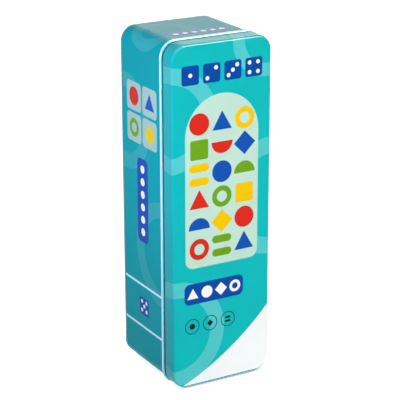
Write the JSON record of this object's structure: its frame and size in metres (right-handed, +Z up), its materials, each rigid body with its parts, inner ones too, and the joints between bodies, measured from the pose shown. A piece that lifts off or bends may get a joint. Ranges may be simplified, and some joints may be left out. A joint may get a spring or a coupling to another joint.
{
  "type": "stacking balance toy in a tin",
  "caption": "Upright slip-lid tin with rounded corners and a stop bead, holding painted wooden sticks, cylinders and a die for a stacking balance game.",
  "frame": {"origin": "middle of the overall box, on the plane that the tin stands on", "axes": "+Z up along the tin's length, the lid faces -Y, +X to the right of someone who looks at the lid"},
  "size_m": [0.0774, 0.072, 0.2428],
  "materials": {
    "printed_tin": "gloss print on tinplate",
    "red_paint": "painted satin",
    "yellow_paint": "painted satin",
    "blue_paint": "painted satin",
    "green_paint": "painted satin",
    "natural_wood": "bare beech"
  },
  "bodies": {
    "tin": {"tin_wall": "printed_tin", "tin_base": "printed_tin", "red_stick_1": "red_paint", "yellow_stick_2": "yellow_paint", "blue_stick_3": "blue_paint", "green_stick_4": "green_paint", "red_stick_5": "red_paint", "yellow_stick_6": "yellow_paint", "blue_stick_7": "blue_paint", "green_stick_8": "green_paint", "red_stick_9": "red_paint", "yellow_stick_10": "yellow_paint", "blue_stick_11": "blue_paint", "green_stick_12": "green_paint", "red_stick_13": "red_paint", "yellow_stick_14": "yellow_paint", "blue_stick_15": "blue_paint", "green_stick_16": "green_paint", "red_stick_17": "red_paint", "yellow_stick_18": "yellow_paint", "blue_stick_19": "blue_paint", "green_stick_20": "green_paint", "red_cylinder_1": "red_paint", "yellow_cylinder_2": "yellow_paint", "blue_cylinder_3": "blue_paint", "green_cylinder_4": "green_paint", "red_cylinder_5": "red_paint", "yellow_cylinder_6": "yellow_paint", "blue_cylinder_7": "blue_paint", "green_cylinder_8": "green_paint", "red_cylinder_9": "red_paint", "yellow_cylinder_10": "yellow_paint", "blue_cylinder_11": "blue_paint", "green_cylinder_12": "green_paint", "red_cylinder_13": "red_paint", "yellow_cylinder_14": "yellow_paint", "blue_cylinder_15": "blue_paint", "green_cylinder_16": "green_paint", "red_cylinder_17": "red_paint", "yellow_cylinder_18": "yellow_paint", "blue_cylinder_19": "blue_paint", "green_cylinder_20": "green_paint", "wooden_die": "natural_wood"},
    "lid": {"tin_lid": "printed_tin"}
  },
  "joints": [
    {"name": "lid_slide", "type": "slide", "parent": "tin", "child": "lid", "axis": [0, -1, 0], "range_m": [0, 0.1]}
  ]
}
